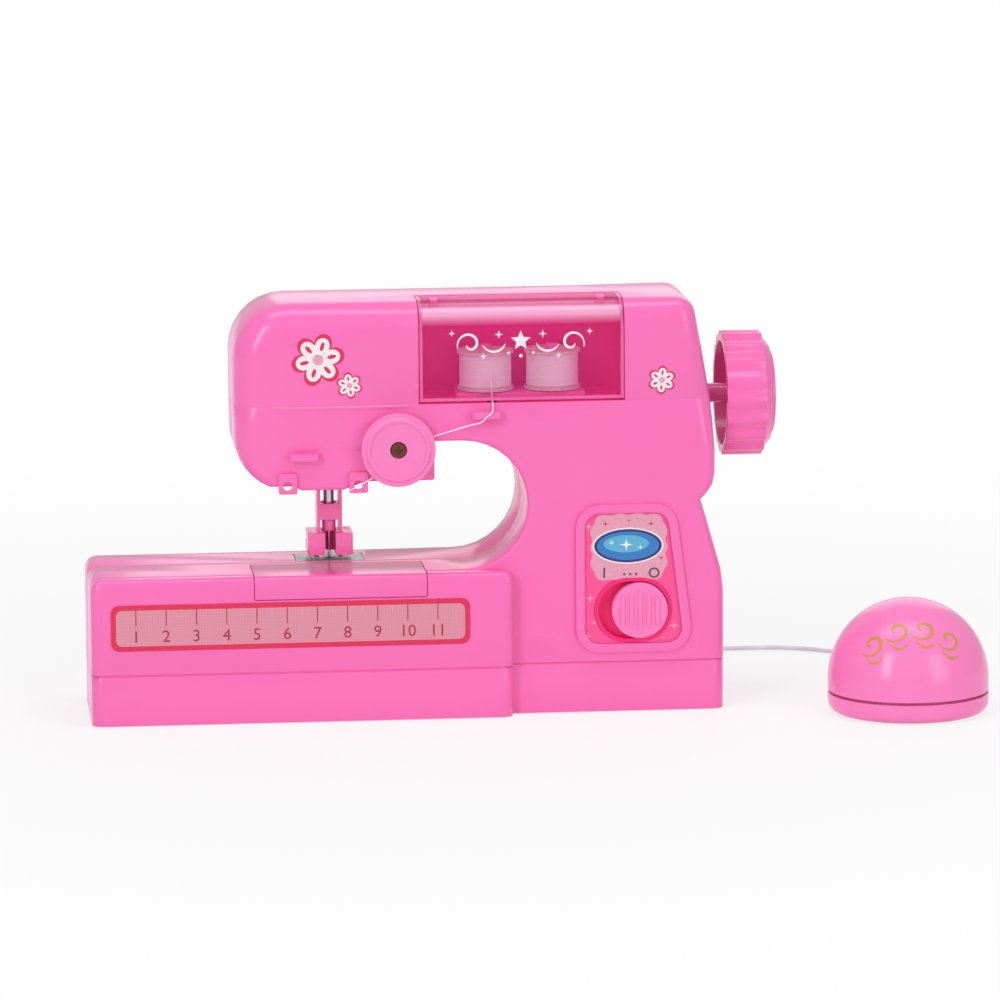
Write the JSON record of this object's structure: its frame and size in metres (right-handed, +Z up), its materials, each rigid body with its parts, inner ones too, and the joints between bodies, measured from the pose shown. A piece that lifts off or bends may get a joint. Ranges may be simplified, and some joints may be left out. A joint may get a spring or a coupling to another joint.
{
  "type": "toy sewing machine",
  "caption": "Toy sewing machine with an L-shaped casing, sewing bed, tinted spool door, handwheel, tension dial, needle and presser foot, slide switch and round foot switch on a lead.",
  "frame": {"origin": "middle of the machine base's length, on its underside, in the parting plane of the casing", "axes": "+X to the handwheel, +Y to the back, +Z up"},
  "size_m": [0.2983, 0.1404, 0.1385],
  "materials": {
    "pink": "gloss hot pink moulding",
    "clear_pink": "clear tinted moulding",
    "spool_plastic": "milky moulding",
    "thread": "spun thread",
    "steel": "plated",
    "brass": "turned",
    "grey_plastic": "matt moulding",
    "gear_plastic": "natural moulding",
    "belt_rubber": "matt",
    "cell_jacket": "gloss jacket",
    "panel_print": "printed film",
    "ruler_print": "printed film",
    "lead": "soft sheath"
  },
  "bodies": {
    "casing": {"base_tray": "pink", "battery_door": "pink", "battery_cells": "cell_jacket", "battery_contacts": "steel", "front_shell": "pink", "rear_shell": "pink", "bed_apron": "pink", "bed_cover": "pink", "needle_plate": "steel", "top_cover": "pink", "spool_tray": "pink", "spool_seat": "pink", "dial_screw": "steel", "thread_guides": "pink", "eyelet_lugs": "pink", "upper_thread": "thread", "head_frame": "grey_plastic", "gear_frame": "grey_plastic", "idler_pin": "steel", "motor": "steel", "drive_belt": "belt_rubber", "shaft_posts": "grey_plastic", "casing_screws": "steel", "door_screw": "steel", "panel_rim": "pink", "panel_label": "panel_print", "switch_cup": "pink", "slide_switch": "grey_plastic", "ruler_label": "ruler_print", "machine_gland": "lead", "pedal_cord": "lead", "cord_tie": "lead", "pedal_gland": "lead", "pedal_base": "pink", "pedal_switch": "grey_plastic", "pedal_spring": "steel"},
    "drive": {"main_shaft": "steel", "handwheel": "pink", "crank_disc": "grey_plastic", "main_gear": "gear_plastic", "upper_pulley": "gear_plastic"},
    "idler": {"idler_gear": "gear_plastic"},
    "rotor": {"motor_pinion": "brass"},
    "looper_drive": {"lower_shaft": "steel", "lower_pulley": "gear_plastic", "looper": "grey_plastic"},
    "needle_slide": {"needle_bar": "steel", "needle_clamp": "grey_plastic", "needle": "steel"},
    "presser": {"presser_foot": "pink"},
    "door": {"spool_door": "clear_pink"},
    "reel_left": {"spool_left": "spool_plastic", "thread_left": "thread"},
    "reel_right": {"spool_right": "spool_plastic", "thread_right": "thread"},
    "dial": {"tension_dial": "pink"},
    "knob": {"switch_knob": "pink"},
    "pedal": {"pedal_dome": "pink"}
  },
  "joints": [
    {"name": "wheel_turn", "type": "hinge", "parent": "casing", "child": "drive", "pos_m": [0, 0.006, 0.1023], "axis": [1, 0, 0], "continuous": true},
    {"name": "idler_turn", "type": "hinge", "parent": "casing", "child": "idler", "pos_m": [0, 0.00183, 0.08852], "axis": [1, 0, 0], "continuous": true},
    {"name": "motor_turn", "type": "hinge", "parent": "casing", "child": "rotor", "pos_m": [0, -0.008, 0.07799], "axis": [1, 0, 0], "continuous": true},
    {"name": "looper_turn", "type": "hinge", "parent": "casing", "child": "looper_drive", "pos_m": [0, 0.006, 0.038], "axis": [1, 0, 0], "continuous": true},
    {"name": "needle_stroke", "type": "slide", "parent": "casing", "child": "needle_slide", "axis": [0, 0, 1], "range_m": [0, 0.012]},
    {"name": "presser_lift", "type": "slide", "parent": "casing", "child": "presser", "axis": [0, 0, 1], "range_m": [0, 0.006]},
    {"name": "door_swing", "type": "hinge", "parent": "casing", "child": "door", "pos_m": [0, -0.006, 0.1363], "axis": [1, 0, 0], "range_deg": [-85, 0]},
    {"name": "reel_left_spin", "type": "hinge", "parent": "casing", "child": "reel_left", "pos_m": [0.0268, -0.0107, 0.108], "axis": [0, 0, 1], "continuous": true},
    {"name": "reel_right_spin", "type": "hinge", "parent": "casing", "child": "reel_right", "pos_m": [0.0491, -0.0107, 0.108], "axis": [0, 0, 1], "continuous": true},
    {"name": "dial_turn", "type": "hinge", "parent": "casing", "child": "dial", "pos_m": [-0.0036, -0.025, 0.0902], "axis": [0, 1, 0], "range_deg": [-150, 150]},
    {"name": "switch_slide", "type": "slide", "parent": "casing", "child": "knob", "axis": [1, 0, 0], "range_m": [-0.0042, 0]},
    {"name": "pedal_press", "type": "slide", "parent": "casing", "child": "pedal", "axis": [0, 0, 1], "range_m": [-0.0007, 0], "stiffness_N_per_m": 1500, "springref_m": 0.001, "deforming": ["pedal_spring"]}
  ],
  "couplings": [
    {"joint": "idler_turn", "follows": "wheel_turn", "ratio": -3},
    {"joint": "motor_turn", "follows": "wheel_turn", "ratio": 9},
    {"joint": "looper_turn", "follows": "wheel_turn", "ratio": 1}
  ]
}
